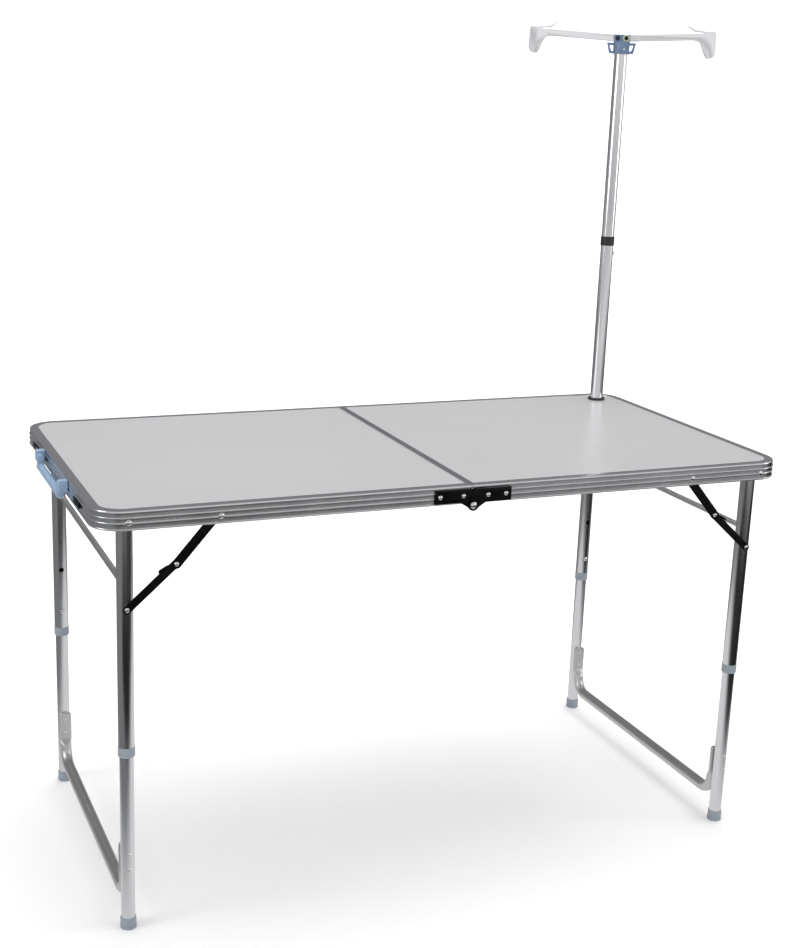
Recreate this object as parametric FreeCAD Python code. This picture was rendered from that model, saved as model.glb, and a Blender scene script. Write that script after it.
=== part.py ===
import FreeCAD, Part
import math
import os

# Folding table with an accessory pole. Millimetres, +Z up, +X along the table, -Y is its front.
# It is drawn about the middle of the hinge line at floor level. At the end every piece is moved
# so that the origin is the bottom centre of the whole object's box.

V = FreeCAD.Vector
X_AXIS = V(1, 0, 0)
Y_AXIS = V(0, 1, 0)
Z_AXIS = V(0, 0, 1)

# ---- Table top ----
table_length = 1200.0
table_width = 606.0
table_height = 690.0
half_gap = 1.2            # gap between the two halves
rim_depth = 30.0
rim_corner_radius = 50.0
rim_wall = 1.6
rim_rib_height = 1.2      # how far the ribs stand out of the outer face
rim_rib_width = 1.8
rim_rib_drops = (10.5, 18.6, 27.6)   # rib centres below the top
rim_lip = 16.0
rim_lip_thickness = 0.8
rim_flange = 6.0
flange_thickness = 1.2
board_thickness = 3.0
board_relief = 0.2        # how far the covered edge of a board lies below its open top
rail_web = 1.4
rail_depth = 18.0
rail_lip = 6.0
rail_flange = 12.0

# ---- Centre hinge ----
hinge_axis_drop = 2.0     # hinge axis below the rim's bottom edge
hinge_plate_thickness = 2.0
hinge_plate_reach = 66.0
hinge_plate_height = 22.0
hinge_ear_radius = 9.0
hinge_ear_base = 22.0
hinge_pad_start = 20.0
hinge_pin_radius = 3.0
hinge_rivet_places = (16.5, 57.0)

# ---- Legs ----
leg_inset_x = 51.0
leg_inset_y = 33.5
leg_pivot_drop = 17.6     # pivot below the table's top
upper_leg_radius = 12.5
upper_leg_wall = 1.2
upper_leg_above_pivot = 4.5
lower_leg_radius = 11.0
lower_leg_wall = 1.2
lower_leg_top = 371.0
collar_bottom = 293.0
collar_height = 16.0
collar_wall = 0.7
collar_lip = 3.0
crossbar_height = 566.0
crossbar_radius = 5.0
stretcher_height = 47.0
stretcher_radius = 10.0
stretcher_wall = 1.2
stretcher_bend = 30.0
stretcher_flat_thickness = 5.5
stretcher_flat_width = 23.0
stretcher_flat_top = 140.0
stretcher_flat_start = 95.0
stretcher_rivet_heights = (103.0, 129.0)
foot_radius = 12.9
foot_height = 19.0
foot_sole = 3.0
button_height = 341.0
button_radius = 4.0
button_proud = 2.2
button_travel = 3.6       # pressed flush with the inner tube
button_crown = 1.3
height_hole_pitch = 80.0
leg_pin_radius = 3.0
leg_spacer_radius = 7.0
rivet_head_radius = 4.6
rivet_head_height = 2.2

# ---- Locking braces on the front legs ----
brace_rim_offset = 138.0  # leg pivot to brace pivot on the rim
brace_leg_drop = 140.0    # leg pivot to brace rivet on the leg
brace_upper_length = 97.5
brace_lower_length = 99.5
brace_upper_width = 15.0
brace_lower_width = 12.5
brace_thickness = 2.0
brace_pin_radius = 2.5
brace_gap = 0.4
brace_head_height = 1.0
brace_spur_start = 9.0
brace_spur_end = 29.0
brace_spur_rise = 4.5
brace_head_radius = 3.8   # rivet heads on the braces and hinge plates

# ---- Carry handle and latches on the end rims ----
handle_half_length = 94.0
handle_arm = 16.0
handle_bar_radius = 6.5
handle_pivot_drop = 11.5
handle_standoff = 9.0
handle_pin_radius = 3.0
bracket_width = 12.0
bracket_height = 19.0
latch_place = 160.0
latch_drop = 16.0
latch_length = 42.0
latch_width = 9.0
latch_thickness = 2.0
latch_reach = 28.0
latch_pin_radius = 2.5

# ---- Accessory pole ----
pole_x = 541.0
pole_y = 247.0
pole_yaw = -30.0          # hanger arms turned about the pole
pole_radius = 12.5
pole_wall = 1.2
pole_split = 1012.0
pole_top = 1390.0
pole_collar_half = 9.0
pole_collar_radius = 13.6
spigot_below = 60.0
spigot_above = 40.0
spigot_wall = 1.5
pole_button_height = 988.0
socket_flange_radius = 17.0
socket_flange_height = 4.5
socket_recess = 3.0
socket_radius = 9.0
socket_depth = 26.0
plug_spigot_radius = 6.0
plug_height = 14.0
hub_radius = 15.5
hub_bottom = 1370.0
hub_depth = 24.0
hub_lug_top = 12.5
hub_lug_bottom = 7.5
hub_lug_height = 21.0
hub_lug_rim = 4.6
arm_pivot_offset = 8.3
arm_pivot_height = 1399.5
arm_reach = 178.0
arm_raise = 3.0
arm_height = 12.5
arm_thickness = 10.0
arm_pin_radius = 2.5
lobe_width = 29.0
lobe_foot = 23.0
lobe_drop = 41.0
lobe_rise = 9.0
tongue_thickness = 3.0

# ---- Small hardware ----
stretcher_rivet_radius = 2.4
stretcher_rivet_head = 1.8
clip_width = 7.0           # spring strip of the snap buttons
clip_strip = 0.8
clip_tail = 24.0           # strip below the button
clip_tip = 7.0             # strip above it
clip_clearance = 1.4       # bent strip to the tube's bore
end_pin_root = 3.0         # latch pins and studs, behind the rim's face
end_pin_head = 1.4
latch_notch = 2.8
handle_cheek = 12.0        # arms of the handle, along its length
handle_cheek_radius = 5.0
hub_screw_radius = 4.2
hub_screw_height = 1.6
hub_screw_recess = 2.0
hub_rivet_radius = 1.8
hub_rivet_head_radius = 2.6
drill = 40.0               # length of a drilled cut, enough to pass through any piece

# ---- Clearances ----
running = 0.05            # radial clearance of a pin or spigot that turns or slides
apart = 0.3               # between pieces that pass each other
button_clearance = 0.4

# ---- Worked out from the values above ----
half_length = table_length / 2
half_width = table_width / 2
band_y = half_width - rim_rib_height
inner_y = band_y - rim_wall
board_top = table_height - rim_lip_thickness
board_bottom = board_top - board_thickness
rim_bottom = table_height - rim_depth
hinge_axis_z = rim_bottom - hinge_axis_drop
leg_x = half_length - leg_inset_x
leg_y = half_width - leg_inset_y
pivot_z = table_height - leg_pivot_drop
upper_leg_bore = upper_leg_radius - upper_leg_wall
lower_leg_bore = lower_leg_radius - lower_leg_wall
leg_face = leg_y + upper_leg_radius
lower_arm_y = leg_face + brace_gap
upper_arm_y = lower_arm_y + brace_thickness + brace_head_height + brace_gap
pole_bore = pole_radius - pole_wall
brace_rim_x = -leg_x + brace_rim_offset

parts = {}


def cylinder(radius, start, direction, length):
    return Part.makeCylinder(radius, length, start, direction)


def tube(outer, inner, start, direction, length):
    return cylinder(outer, start, direction, length).cut(cylinder(inner, start, direction, length))


def block(x, y, z):
    """Box between pairs of limits."""
    return Part.makeBox(x[1] - x[0], y[1] - y[0], z[1] - z[0], V(x[0], y[0], z[0]))


def fused(pieces):
    body = pieces[0].multiFuse(pieces[1:])
    return body.removeSplitter()


def group(pieces):
    return Part.makeCompound(pieces)


def mirror_x(shape):
    return shape.mirror(V(0, 0, 0), X_AXIS)


def mirror_y(shape):
    return shape.mirror(V(0, 0, 0), Y_AXIS)


def prism(points, y_start, thickness):
    """Plate cut to an outline of (x, z) points, its back at y_start and its front towards -Y."""
    outline = [V(x, y_start, z) for x, z in points]
    face = Part.Face(Part.makePolygon(outline + outline[:1]))
    return face.extrude(V(0, -thickness, 0))


def turned(shape, centre, axis, degrees):
    copy = shape.copy()
    copy.rotate(centre, axis, degrees)
    return copy


def rounded(shape, radius, chosen):
    """Fillet the edges for which chosen(edge) is true."""
    edges = [edge for edge in shape.Edges if chosen(edge)]
    return shape.makeFillet(radius, edges)


def dome(base, direction, radius, height):
    """Rivet head: a cap of a sphere standing on base."""
    sphere_radius = (radius ** 2 + height ** 2) / (2 * height)
    centre = base + direction * (height - sphere_radius)
    ball = Part.makeSphere(sphere_radius, centre)
    return ball.common(cylinder(radius + 1, base, direction, height + 1))


# ---- Rims, boards and centre rails: the left half is drawn and the right half mirrors it ----
def outline_face(inset, z):
    """Plan of the left half, set in from its outer edge, with its two outer corners rounded."""
    radius = rim_corner_radius - inset
    left = -half_length + inset
    side = half_width - inset
    end = -half_gap / 2
    k = radius * (1 - math.sqrt(0.5))
    front = Part.LineSegment(V(end, -side, z), V(left + radius, -side, z))
    corner_a = Part.Arc(V(left + radius, -side, z), V(left + k, -side + k, z), V(left, -side + radius, z))
    outer = Part.LineSegment(V(left, -side + radius, z), V(left, side - radius, z))
    corner_b = Part.Arc(V(left, side - radius, z), V(left + k, side - k, z), V(left + radius, side, z))
    back = Part.LineSegment(V(left + radius, side, z), V(end, side, z))
    seam = Part.LineSegment(V(end, side, z), V(end, -side, z))
    edges = [piece.toShape() for piece in (front, corner_a, outer, corner_b, back, seam)]
    return Part.Face(Part.Wire(edges))


def plan_prism(inset, drop, height):
    return outline_face(inset, table_height - drop - height).extrude(V(0, 0, height))


def plan_band(outer_inset, inner_inset, drop, height):
    """Strip that follows the rim between two insets. It is open at the seam."""
    inner = plan_prism(inner_inset, drop, height)
    opened = inner.fuse(inner.translated(V(half_gap + 10, 0, 0)))
    return plan_prism(outer_inset, drop, height).cut(opened)


def make_rim():
    inner = rim_rib_height + rim_wall
    bands = [plan_band(rim_rib_height, inner, 0, rim_depth)]
    bands.append(plan_band(rim_rib_height, rim_lip, 0, rim_lip_thickness + board_relief))
    flange_drop = rim_lip_thickness + board_thickness
    bands.append(plan_band(inner - 0.4, inner + rim_flange, flange_drop, flange_thickness))
    bands.append(plan_band(inner - 0.4, inner + rim_flange, rim_depth - flange_thickness, flange_thickness))
    for drop in rim_rib_drops:
        bands.append(plan_band(0, inner - 0.4, drop - rim_rib_width / 2, rim_rib_width))
    rim = fused(bands)
    for side in (-1, 1):
        hole_y = side * (inner_y - 5)
        rim = rim.cut(cylinder(leg_pin_radius, V(-leg_x, hole_y, pivot_z), V(0, side, 0), drill))
    brace_hole = V(brace_rim_x, -(inner_y - 5), pivot_z)
    return rim.cut(cylinder(brace_pin_radius, brace_hole, V(0, -1, 0), drill))


def make_board():
    """Laminated board whose edge is pressed down a little where the lips cover it."""
    covered_drop = rim_lip_thickness + board_relief
    covered = plan_prism(rim_rib_height + rim_wall + 0.2, covered_drop, board_thickness - board_relief)
    open_top = plan_prism(rim_lip + apart, rim_lip_thickness, board_thickness)
    seam_strip = block((-half_gap / 2 - rail_lip - apart, 1), (-half_width, half_width),
                       (board_top - board_relief, table_height))
    return fused([covered, open_top.cut(seam_strip)])


def make_rail():
    """Channel along the seam that closes the half's frame and carries the board's cut edge."""
    seam = -half_gap / 2
    side = inner_y - rim_flange - apart
    lip_side = half_width - rim_lip
    web_z = (table_height - rail_depth, board_top - board_relief)
    web = block((seam - rail_web, seam), (-side, side), web_z)
    lip_z = (board_top - board_relief, table_height)
    lip = block((seam - rail_lip, seam), (-lip_side, lip_side), lip_z)
    flange_z = (board_bottom - flange_thickness, board_bottom)
    flange = block((seam - rail_flange, seam), (-side, side), flange_z)
    return fused([web, lip, flange])


trim = block((-half_gap / 2 - rail_web, 1), (-half_width, half_width), (board_bottom, board_top))
left_board = make_board().cut(trim)
left_rim = make_rim()
parts["left_panel"] = left_board
parts["left_rim"] = left_rim
parts["left_centre_rail"] = make_rail()
pole_hole = cylinder(socket_radius, V(pole_x, pole_y, board_bottom - 5), Z_AXIS, 20)
parts["right_panel"] = mirror_x(left_board).cut(pole_hole)
parts["right_rim"] = mirror_x(left_rim)
parts["right_centre_rail"] = mirror_x(parts["left_centre_rail"])


# ---- Centre hinge: a plate on each half's long side, with ears that overlap round one pin ----
plate_top = rim_bottom + hinge_plate_height + 3
left_plate_y = -half_width - 0.2
right_plate_y = left_plate_y - hinge_plate_thickness - apart
rivet_z = plate_top - hinge_plate_height / 2


def hinge_plate(y_back):
    """Front plate of the left half: a bar with a V-shaped ear round the hinge pin."""
    low = plate_top - hinge_plate_height
    ear_low = hinge_axis_z - hinge_ear_radius * 0.5
    points = [(-hinge_plate_reach, low), (-hinge_ear_base, low), (-hinge_ear_radius * 0.8, ear_low),
              (hinge_ear_radius * 0.8, ear_low), (hinge_ear_radius * 0.9, hinge_axis_z + 4),
              (-half_gap, plate_top), (-hinge_plate_reach, plate_top)]
    ear = cylinder(hinge_ear_radius, V(0, y_back, hinge_axis_z), V(0, -1, 0), hinge_plate_thickness)
    return fused([prism(points, y_back, hinge_plate_thickness), ear])


left_plate = hinge_plate(left_plate_y)
pin_start = V(0, left_plate_y + 1, hinge_axis_z)
left_plate = left_plate.cut(cylinder(hinge_pin_radius + running, pin_start, V(0, -1, 0), drill))
pad_x = (hinge_pad_start, hinge_plate_reach)
pad_z = (plate_top - hinge_plate_height, plate_top)
pad = block(pad_x, (right_plate_y, left_plate_y), pad_z)
right_plate = fused([mirror_x(hinge_plate(right_plate_y)), pad])
right_plate = right_plate.cut(cylinder(hinge_pin_radius, pin_start, V(0, -1, 0), drill))
rivet_shanks = []
for place in hinge_rivet_places:
    start = V(-place, -inner_y, rivet_z)
    rivet_shanks.append(cylinder(brace_pin_radius, start, V(0, -1, 0), -left_plate_y - inner_y + 2))
left_plate = left_plate.cut(group(rivet_shanks))


def plate_rivet(x, outer_y):
    start = V(x, -inner_y, rivet_z)
    shank = cylinder(brace_pin_radius, start, V(0, -1, 0), -outer_y - inner_y)
    return fused([shank, dome(V(x, outer_y, rivet_z), V(0, -1, 0), brace_head_radius, rivet_head_height)])


left_outer = left_plate_y - hinge_plate_thickness
right_outer = right_plate_y - hinge_plate_thickness
left_rivets = [plate_rivet(-place, left_outer) for place in hinge_rivet_places]
outer_rivet_x = (hinge_pad_start + brace_head_radius + 1.7, hinge_rivet_places[1])
right_rivets = [plate_rivet(x, right_outer) for x in outer_rivet_x]
right_plate = right_plate.cut(group(right_rivets))
pin_length = -right_outer + left_plate_y - 0.1
pin = cylinder(hinge_pin_radius, V(0, left_plate_y - 0.1, hinge_axis_z), V(0, -1, 0), pin_length)
pin_head = dome(V(0, right_outer, hinge_axis_z), V(0, -1, 0), rivet_head_radius + 1, rivet_head_height)
hinge_pin = fused([pin, pin_head])
parts["left_hinge_plates"] = group([left_plate, mirror_y(left_plate)])
parts["right_hinge_plates"] = group([right_plate, mirror_y(right_plate)])
parts["left_hinge_rivets"] = group(left_rivets + [mirror_y(rivet) for rivet in left_rivets])
parts["right_hinge_rivets"] = group(right_rivets + [mirror_y(rivet) for rivet in right_rivets])
parts["hinge_pins"] = group([hinge_pin, mirror_y(hinge_pin)])
for name in ("left_rim", "right_rim"):
    holes = parts[name.replace("rim", "hinge_rivets")]
    parts[name] = parts[name].cut(holes)


# ---- Leg frame at the left end, front leg first; the right end mirrors it ----
def rim_rivet(x, z, radius, inner_end, side):
    """Rivet through the rim's side wall, headed outside, that carries a leg or a brace."""
    start = V(x, side * inner_end, z)
    shank = cylinder(radius, start, V(0, side, 0), half_width - inner_end)
    head = dome(V(x, side * half_width, z), V(0, side, 0), rivet_head_radius, rivet_head_height)
    return fused([shank, head])


def upper_leg(side):
    """Outer leg tube, cross-drilled for its pivot, its snap button and the lower height."""
    top = pivot_z + upper_leg_above_pivot
    bottom = collar_bottom + collar_lip
    leg = tube(upper_leg_radius, upper_leg_bore, V(-leg_x, side * leg_y, bottom), Z_AXIS, top - bottom)
    pivot_start = V(-leg_x, side * (leg_y - 20), pivot_z)
    leg = leg.cut(cylinder(leg_pin_radius + running, pivot_start, V(0, side, 0), 40))
    for height in (button_height, button_height + height_hole_pitch):
        start = V(-leg_x, side * leg_y, height)
        leg = leg.cut(cylinder(button_radius + button_clearance, start, V(0, -side, 0), drill))
    return leg


def lower_leg(side):
    leg = tube(lower_leg_radius, lower_leg_bore, V(-leg_x, side * leg_y, foot_sole), Z_AXIS,
               lower_leg_top - foot_sole)
    start = V(-leg_x, side * leg_y, button_height)
    leg = leg.cut(cylinder(button_radius + button_clearance, start, V(0, -side, 0), drill))
    return leg.cut(group([stretcher_rivet(side, height) for height in stretcher_rivet_heights]))


def collar(side):
    """Moulded ring pressed on the outer tube's end. Its lip guides the inner tube."""
    start = V(-leg_x, side * leg_y, collar_bottom)
    ring = cylinder(upper_leg_radius + collar_wall, start, Z_AXIS, collar_height)
    ring = rounded(ring, 0.6, lambda edge: edge.Length > 50 and edge.BoundBox.ZLength < 0.01)
    ring = ring.cut(cylinder(lower_leg_radius + apart, start, Z_AXIS, collar_lip))
    seat = V(-leg_x, side * leg_y, collar_bottom + collar_lip)
    return ring.cut(cylinder(upper_leg_radius, seat, Z_AXIS, collar_height))


def foot(side):
    start = V(-leg_x, side * leg_y, 0)
    cap = cylinder(foot_radius, start, Z_AXIS, foot_height)
    cap = rounded(cap, 1.5, lambda edge: edge.BoundBox.ZMax < 0.1)
    return cap.cut(cylinder(lower_leg_radius, V(-leg_x, side * leg_y, foot_sole), Z_AXIS, foot_height))


def stretcher_rivet(side, height):
    """Rivet from the leg's outer side to the stretcher's flattened end."""
    outer = leg_y + lower_leg_radius
    inner = leg_y - lower_leg_radius - stretcher_flat_thickness
    shank = cylinder(stretcher_rivet_radius, V(-leg_x, side * inner, height), V(0, side, 0), outer - inner)
    seat = V(-leg_x, side * (outer - 0.2), height)
    return fused([shank, dome(seat, V(0, side, 0), brace_head_radius, stretcher_rivet_head)])


def stretcher_run(radius, straight):
    """Solid rod along the stretcher's level run and its two bends."""
    pieces = [cylinder(radius, V(-leg_x, -straight, stretcher_height), Y_AXIS, 2 * straight)]
    for side in (-1, 1):
        circle = Part.makeCircle(radius, V(-leg_x, side * straight, stretcher_height), Y_AXIS)
        centre = V(-leg_x, side * straight, stretcher_height + stretcher_bend)
        pieces.append(Part.Face(Part.Wire(circle)).revolve(centre, V(side, 0, 0), 90))
    return pieces


def stretcher():
    """U-bent tube between the lower legs, its ends pressed flat against their inner sides."""
    reach = leg_y - lower_leg_radius - stretcher_radius
    straight = reach - stretcher_bend
    outer = stretcher_run(stretcher_radius, straight)
    rivets = []
    for side in (-1, 1):
        flat_y = side * (leg_y - lower_leg_radius - stretcher_flat_thickness / 2)
        low = V(-leg_x, side * reach, stretcher_height + stretcher_bend)
        high = V(-leg_x, flat_y, stretcher_flat_start)
        round_wire = Part.Wire(Part.makeCircle(stretcher_radius, low, Z_AXIS))
        oval = Part.Ellipse(high, stretcher_flat_width / 2, stretcher_flat_thickness / 2).toShape()
        outer.append(Part.makeLoft([round_wire, Part.Wire(oval)], True))
        flat = Part.Face(Part.Wire(oval)).extrude(V(0, 0, stretcher_flat_top - stretcher_flat_start))
        outer.append(flat)
        rivets += [stretcher_rivet(side, height) for height in stretcher_rivet_heights]
    body = fused(outer)
    for piece in stretcher_run(stretcher_radius - stretcher_wall, straight) + rivets:
        body = body.cut(piece)
    return body


def snap_clip(axis_point, direction, outer_radius, inner_radius):
    """Spring strip folded inside a tube, with the domed button that it holds out."""
    face = inner_radius - clip_clearance
    shoulder = outer_radius + button_proud - button_crown
    button = cylinder(button_radius, V(face - 0.1, 0, 0), X_AXIS, shoulder + 0.1 - face)
    cap = dome(V(shoulder, 0, 0), X_AXIS, button_radius, button_crown)
    across = (-clip_width / 2, clip_width / 2)
    front = block((face - clip_strip, face), across, (-clip_tail, clip_tip))
    rest = math.sqrt(inner_radius ** 2 - (clip_width / 2) ** 2) - button_travel - apart
    back = block((-rest, clip_strip - rest), across, (-clip_tail, clip_tip))
    bridge = block((-rest, face), across, (-clip_tail - clip_strip, -clip_tail))
    clip = fused([button, cap, front, back, bridge])
    clip.rotate(V(0, 0, 0), Z_AXIS, math.degrees(math.atan2(direction.y, direction.x)))
    clip.translate(axis_point)
    return clip


def leg_spacer(side):
    """Bush that keeps the leg off the rim's wall, trimmed where the rim's corner begins."""
    length = inner_y - leg_face - apart
    start = V(-leg_x, side * (leg_face + apart), pivot_z)
    return tube(leg_spacer_radius, leg_pin_radius, start, V(0, side, 0), length).cut(left_rim)


leg_inner_face = leg_y - upper_leg_radius
leg_rivets = [rim_rivet(-leg_x, pivot_z, leg_pin_radius, leg_inner_face, side) for side in (-1, 1)]
legs_up = {side: upper_leg(side) for side in (-1, 1)}
crossbar = cylinder(crossbar_radius, V(-leg_x, -leg_y, crossbar_height), Y_AXIS, 2 * leg_y)
for side in (-1, 1):
    leg_solid = cylinder(upper_leg_radius, V(-leg_x, side * leg_y, crossbar_height - 30), Z_AXIS, 60)
    crossbar = crossbar.cut(leg_solid)

# Brace: the upper arm hangs from the rim, the lower arm is riveted to the front leg.
leg_end = V(-leg_x, 0, pivot_z - brace_leg_drop)
rim_end = V(brace_rim_x, 0, pivot_z)
span = rim_end - leg_end
along = (brace_lower_length ** 2 - brace_upper_length ** 2 + span.Length ** 2) / (2 * span.Length)
sag = math.sqrt(brace_lower_length ** 2 - along ** 2)
unit = V(span).normalize()
elbow = leg_end + unit * along + V(unit.z, 0, -unit.x) * sag


def brace_arm(start, end, y_back, width, spur):
    """Flat bar with round ends; the lower one carries the thumb spur that frees the lock."""
    length = (end - start).Length
    half = width / 2
    bar = block((0, length), (-brace_thickness, 0), (-half, half))
    pieces = [bar]
    for x in (0, length):
        pieces.append(cylinder(half, V(x, 0, 0), V(0, -1, 0), brace_thickness))
    if spur:
        high = half + brace_spur_rise
        points = [(length - brace_spur_start, half - 1), (length - brace_spur_start - 3, half + 1.5),
                  (length - brace_spur_end + 3, high), (length - brace_spur_end, high - 3.5),
                  (length - brace_spur_end + 7, half + 0.5), (length - brace_spur_end + 7, half - 1)]
        pieces.append(prism(points, 0, brace_thickness))
    arm = fused(pieces)
    holes = [cylinder(brace_pin_radius + running, V(x, 1, 0), V(0, -1, 0), drill) for x in (0, length)]
    arm = arm.cut(group(holes))
    arm.rotate(V(0, 0, 0), Y_AXIS, -math.degrees(math.atan2(end.z - start.z, end.x - start.x)))
    arm.translate(V(start.x, y_back, start.z))
    return arm


brace_lower = brace_arm(leg_end, elbow, -lower_arm_y, brace_lower_width, True)
brace_upper = brace_arm(rim_end, elbow, -upper_arm_y, brace_upper_width, False)
upper_outer = -upper_arm_y - brace_thickness
elbow_start = V(elbow.x, -upper_arm_y, elbow.z)
elbow_shank = cylinder(brace_pin_radius + running, elbow_start, V(0, -1, 0), brace_thickness)
elbow_head = dome(V(elbow.x, upper_outer, elbow.z), V(0, -1, 0), brace_head_radius, rivet_head_height)
elbow_rivet = fused([elbow_shank, elbow_head])
leg_rivet_start = V(-leg_x, -(leg_y - upper_leg_radius), leg_end.z)
leg_rivet_length = upper_leg_radius * 2 + brace_gap + brace_thickness
leg_rivet_shank = cylinder(brace_pin_radius, leg_rivet_start, V(0, -1, 0), leg_rivet_length)
leg_rivet_y = -lower_arm_y - brace_thickness
leg_rivet_head = dome(V(-leg_x, leg_rivet_y, leg_end.z), V(0, -1, 0), brace_head_radius, brace_head_height)
leg_rivet = fused([leg_rivet_shank, leg_rivet_head])
legs_up[-1] = legs_up[-1].cut(leg_rivet_shank)
brace_rivet = rim_rivet(brace_rim_x, pivot_z, brace_pin_radius, upper_arm_y, -1)
brace_spacer_length = inner_y - upper_arm_y - brace_thickness - apart
brace_spacer_start = V(brace_rim_x, upper_outer - apart, pivot_z)
brace_spacer = tube(5, brace_pin_radius, brace_spacer_start, V(0, -1, 0), brace_spacer_length)

left = {
    "left_rim_rivets": group(leg_rivets + [brace_rivet]),
    "left_leg_spacers": group([leg_spacer(-1), leg_spacer(1), brace_spacer]),
    "front_left_upper_leg": legs_up[-1],
    "rear_left_upper_leg": legs_up[1],
    "left_crossbar": crossbar,
    "left_leg_collars": group([collar(-1), collar(1)]),
    "left_brace_leg_rivet": leg_rivet,
    "front_left_lower_leg": lower_leg(-1),
    "rear_left_lower_leg": lower_leg(1),
    "left_stretcher": stretcher(),
    "left_stretcher_rivets": group([stretcher_rivet(side, height)
                                    for side in (-1, 1) for height in stretcher_rivet_heights]),
    "left_feet": group([foot(-1), foot(1)]),
    "left_brace_upper": brace_upper,
    "left_brace_lower": brace_lower,
    "left_brace_elbow_rivet": elbow_rivet,
}
for side, name in ((-1, "front_left_snap_clip"), (1, "rear_left_snap_clip")):
    clip_point = V(-leg_x, side * leg_y, button_height)
    left[name] = snap_clip(clip_point, V(0, -side, 0), upper_leg_radius, lower_leg_bore)
for name, shape in left.items():
    parts[name] = shape
    parts[name.replace("left", "right")] = mirror_x(shape)


# ---- Carry handle on the left end rim, and latches that hold the closed case ----
handle_z = table_height - handle_pivot_drop
handle_x = -half_length - handle_standoff
end_face = -half_length


def handle_bracket(side):
    """Moulded ear that holds one end of the handle's pivot."""
    inner = handle_half_length + apart
    y = sorted((side * inner, side * (inner + bracket_width)))
    z = (handle_z - bracket_height / 2, handle_z + bracket_height / 2)
    ear = block((handle_x - 6, end_face), y, z)
    ear = rounded(ear, 3, lambda edge: edge.BoundBox.XMax < handle_x and edge.Length > 5)
    bore = handle_pin_radius + running
    hole = cylinder(bore, V(handle_x, 0, handle_z), V(0, side, 0), handle_half_length + 9)
    return ear.cut(hole)


def handle_grip():
    """Swinging grip: a round bar on two short arms, with a pivot stub at each end."""
    bar_z = handle_z - handle_arm
    bar_start = V(handle_x, -handle_half_length, bar_z)
    bar = cylinder(handle_bar_radius, bar_start, Y_AXIS, 2 * handle_half_length)
    pieces = [rounded(bar, 3, lambda edge: edge.BoundBox.YLength < 0.01)]
    for side in (-1, 1):
        y = sorted((side * handle_half_length, side * (handle_half_length - handle_cheek)))
        cheek_x = (handle_x - handle_cheek_radius, handle_x + handle_cheek_radius)
        pieces.append(block(cheek_x, y, (bar_z, handle_z)))
        pieces.append(cylinder(handle_cheek_radius, V(handle_x, y[0], handle_z), Y_AXIS, handle_cheek))
        start = V(handle_x, side * (handle_half_length - 2), handle_z)
        pieces.append(cylinder(handle_pin_radius, start, V(0, side, 0), 10))
    return fused(pieces)


def latch_hook(side):
    """Flat hook that swings down over the stud on the other half."""
    x_back = end_face - apart
    bar = block((0, latch_length), (-latch_thickness, 0), (-latch_width / 2, latch_width / 2))
    pieces = [bar, cylinder(latch_width / 2, V(0, 0, 0), V(0, -1, 0), latch_thickness)]
    hook = fused(pieces)
    throat_x = (latch_reach - latch_notch, latch_reach + latch_notch)
    throat = block(throat_x, (-latch_width, latch_width), (-latch_width, 0.5))
    notch = cylinder(latch_notch, V(latch_reach, 1, 0.5), V(0, -1, 0), drill)
    pivot = cylinder(latch_pin_radius + running, V(0, 1, 0), V(0, -1, 0), drill)
    hook = hook.cut(group([pivot])).cut(throat).cut(notch)
    hook.rotate(V(0, 0, 0), Z_AXIS, -90)
    hook.translate(V(x_back, -latch_place, latch_z))
    return hook if side < 0 else mirror_y(hook)


def end_rivet(x_face, direction, y, z, shank):
    """Headed pin on an end rim; shank is the length that stands clear of the ribs."""
    outwards = V(direction, 0, 0)
    root = V(x_face - direction * end_pin_root, y, z)
    body = cylinder(latch_pin_radius, root, outwards, end_pin_root + shank)
    head = dome(V(x_face + direction * shank, y, z), outwards, latch_pin_radius + 2, end_pin_head)
    return fused([body, head])


latch_z = table_height - latch_drop
stud_z = 2 * hinge_axis_z - (latch_z - latch_reach)
pin_stand = 2 * apart + latch_thickness
hook_pins = [end_rivet(end_face, -1, side * latch_place, latch_z, pin_stand) for side in (-1, 1)]
studs = [end_rivet(-end_face, 1, side * latch_place, stud_z, pin_stand) for side in (-1, 1)]
parts["left_rim_rivets"] = group(leg_rivets + [brace_rivet] + hook_pins)
parts["right_rim_rivets"] = group(parts["right_rim_rivets"].Solids + studs)
parts["left_rim"] = parts["left_rim"].cut(group(hook_pins))
parts["right_rim"] = parts["right_rim"].cut(group(studs))
parts["handle_brackets"] = group([handle_bracket(-1), handle_bracket(1)])
parts["handle_grip"] = handle_grip()
parts["front_latch_hook"] = latch_hook(-1)
parts["rear_latch_hook"] = latch_hook(1)


# ---- Accessory pole, drawn on the Z axis with its hanger arms along X ----
pole = {}
foot_z = board_top + socket_flange_height - socket_recess
flange = cylinder(socket_flange_radius, V(0, 0, board_top), Z_AXIS, socket_flange_height)
flange = rounded(flange, 1.2, lambda edge: edge.BoundBox.ZMin > board_top + 1 and edge.Length > 20
                 and edge.BoundBox.ZLength < 0.01)
flange = flange.cut(cylinder(pole_radius + running, V(0, 0, foot_z), Z_AXIS, 10))
barrel = cylinder(socket_radius, V(0, 0, board_top - socket_depth), Z_AXIS, socket_depth)
spigot_bore = cylinder(plug_spigot_radius + running, V(0, 0, board_top - socket_depth), Z_AXIS, 40)
pole["pole_socket"] = fused([flange, barrel]).cut(spigot_bore)

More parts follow.
